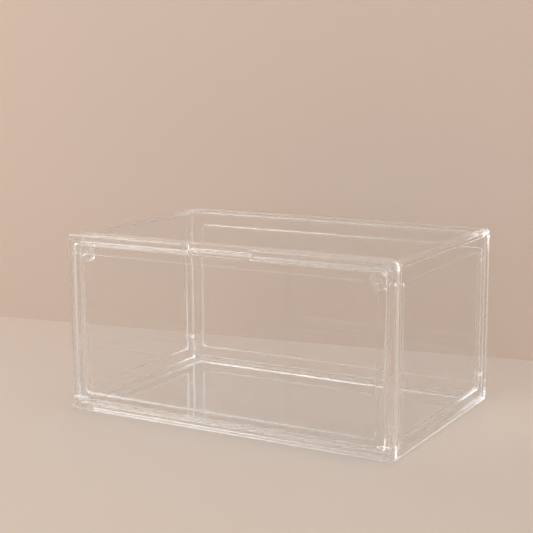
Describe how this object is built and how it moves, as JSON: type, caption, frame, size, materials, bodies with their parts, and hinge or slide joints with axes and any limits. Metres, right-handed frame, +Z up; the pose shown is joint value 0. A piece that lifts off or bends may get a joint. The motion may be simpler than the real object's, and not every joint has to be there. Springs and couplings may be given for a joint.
{
  "type": "lidded storage box",
  "caption": "Clear stackable storage box with a lift-off lid and a drop-down front door opened by a finger pull.",
  "frame": {"origin": "centre of the footprint, on the surface that the box stands on", "axes": "+X to the right seen from the front, +Y to the back, +Z up; the door faces -Y"},
  "size_m": [0.35, 0.23, 0.178],
  "materials": {
    "base_panel": "clear, polished",
    "left_side_panel": "clear, polished",
    "right_side_panel": "clear, polished",
    "back_panel": "clear, polished",
    "lid": "clear, polished",
    "front_frame": "clear, polished",
    "front_door": "clear, polished",
    "left_hinge_pin": "clear, polished",
    "right_hinge_pin": "clear, polished",
    "left_catch_button": "clear soft, satin",
    "right_catch_button": "clear soft, satin"
  },
  "bodies": {
    "box": {"base_panel": "base_panel", "left_side_panel": "left_side_panel", "right_side_panel": "right_side_panel", "back_panel": "back_panel", "front_frame": "front_frame", "left_hinge_pin": "left_hinge_pin", "right_hinge_pin": "right_hinge_pin", "left_catch_button": "left_catch_button", "right_catch_button": "right_catch_button"},
    "door": {"front_door": "front_door"},
    "lid": {"lid": "lid"}
  },
  "joints": [
    {"name": "door_hinge", "type": "hinge", "parent": "box", "child": "door", "pos_m": [0, -0.1115, 0.0141], "axis": [1, 0, 0], "range_deg": [0, 93]},
    {"name": "lid_lift", "type": "slide", "parent": "box", "child": "lid", "axis": [0, 0, 1], "range_m": [0, 0.06]}
  ]
}
